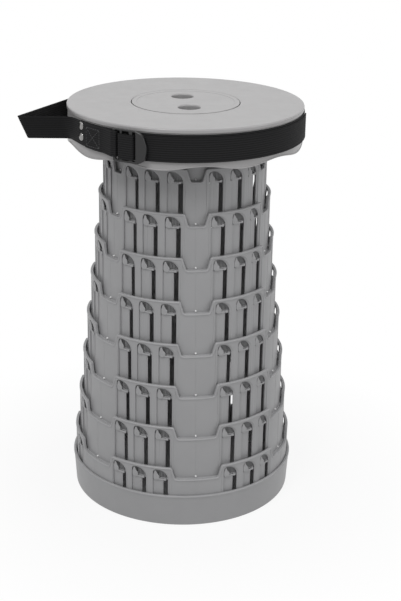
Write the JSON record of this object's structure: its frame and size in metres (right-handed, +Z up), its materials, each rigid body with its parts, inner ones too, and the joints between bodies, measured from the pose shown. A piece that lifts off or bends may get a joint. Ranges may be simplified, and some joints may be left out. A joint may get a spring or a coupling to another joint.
{
  "type": "telescopic stool",
  "caption": "Round stool whose nested plastic rings slide up and lock into a tall column, with a flat round seat and a webbing carry strap round its skirt.",
  "frame": {"origin": "on the floor, under the middle of the round base, at the lower face of the middle rubber pad", "axes": "+Z up along the axis of the rings, -Y towards the buckle side of the strap, -X towards the hand loop"},
  "size_m": [0.2992, 0.2583, 0.45],
  "materials": {
    "body_plastic": "fine moulded texture, satin",
    "seat_plastic": "fine grained, satin",
    "pad_rubber": "matt",
    "screw_steel": "zinc plated",
    "strap_webbing": "ribbed webbing, woven lengthwise",
    "buckle_plastic": "smooth black moulding",
    "rivet_metal": "nickel plated"
  },
  "bodies": {
    "base": {"base_tray": "body_plastic", "base_pads": "pad_rubber", "base_screws": "screw_steel", "ring_1": "body_plastic"},
    "stage_2": {"ring_2": "body_plastic"},
    "stage_3": {"ring_3": "body_plastic"},
    "stage_4": {"ring_4": "body_plastic"},
    "stage_5": {"ring_5": "body_plastic"},
    "stage_6": {"ring_6": "body_plastic"},
    "stage_7": {"ring_7": "body_plastic"},
    "stage_8": {"ring_8": "body_plastic"},
    "seat": {"seat_ring": "body_plastic", "seat_skirt": "seat_plastic", "seat_top": "seat_plastic", "center_lid": "seat_plastic", "seat_screws": "screw_steel", "strap_belt": "strap_webbing", "strap_loop": "strap_webbing", "strap_end": "strap_webbing", "strap_tail": "strap_webbing", "strap_buckle": "buckle_plastic", "strap_rivets": "rivet_metal"}
  },
  "joints": [
    {"name": "slide_2", "type": "slide", "parent": "base", "child": "stage_2", "axis": [0, 0, 1], "range_m": [-0.0469, 0]},
    {"name": "slide_3", "type": "slide", "parent": "stage_2", "child": "stage_3", "axis": [0, 0, 1], "range_m": [-0.0469, 0]},
    {"name": "slide_4", "type": "slide", "parent": "stage_3", "child": "stage_4", "axis": [0, 0, 1], "range_m": [-0.0469, 0]},
    {"name": "slide_5", "type": "slide", "parent": "stage_4", "child": "stage_5", "axis": [0, 0, 1], "range_m": [-0.0469, 0]},
    {"name": "slide_6", "type": "slide", "parent": "stage_5", "child": "stage_6", "axis": [0, 0, 1], "range_m": [-0.0469, 0]},
    {"name": "slide_7", "type": "slide", "parent": "stage_6", "child": "stage_7", "axis": [0, 0, 1], "range_m": [-0.0469, 0]},
    {"name": "slide_8", "type": "slide", "parent": "stage_7", "child": "stage_8", "axis": [0, 0, 1], "range_m": [-0.0469, 0]},
    {"name": "seat_slide", "type": "slide", "parent": "stage_8", "child": "seat", "axis": [0, 0, 1], "range_m": [-0.0403, 0]}
  ]
}
